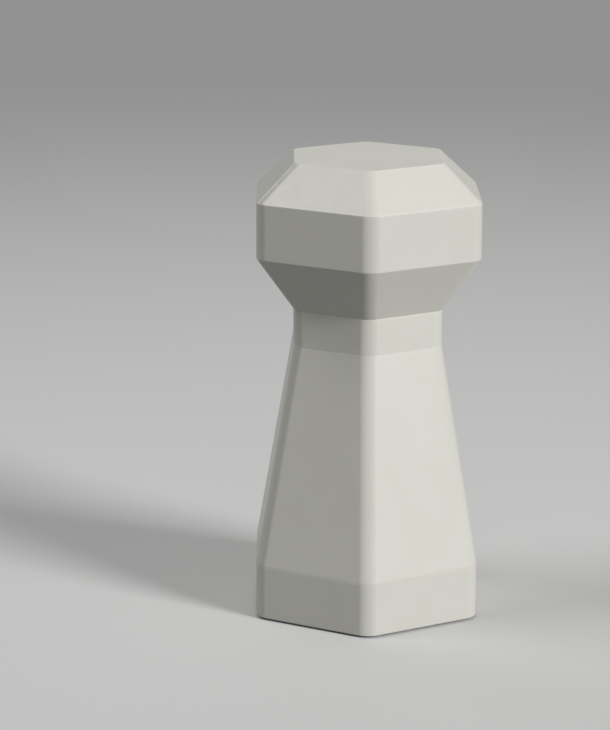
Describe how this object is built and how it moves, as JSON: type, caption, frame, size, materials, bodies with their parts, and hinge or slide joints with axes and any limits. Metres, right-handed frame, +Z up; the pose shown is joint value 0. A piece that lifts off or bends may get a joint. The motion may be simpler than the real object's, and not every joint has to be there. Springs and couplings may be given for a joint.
{
  "type": "board game pawn",
  "caption": "Hexagonal board game pawn: faceted knob head on a tapered hollow body, closed by a plug-in foot that holds a steel weight and a felt pad.",
  "frame": {"origin": "centre of the felt pad's underside, where the pawn stands, at the bottom centre of its box", "axes": "+Z up along the pawn's axis; a corner of every hexagon points along -Y, towards the picture's camera, and a flat faces +X"},
  "size_m": [0.012, 0.0136, 0.025],
  "materials": {
    "ivory_plastic": "satin off-white moulding",
    "turned_steel": "plain turned bar",
    "green_felt": "pressed wool felt"
  },
  "bodies": {
    "root": {"head": "ivory_plastic", "body": "ivory_plastic", "foot": "ivory_plastic", "ballast_slug": "turned_steel", "felt_pad": "green_felt"}
  },
  "joints": []
}
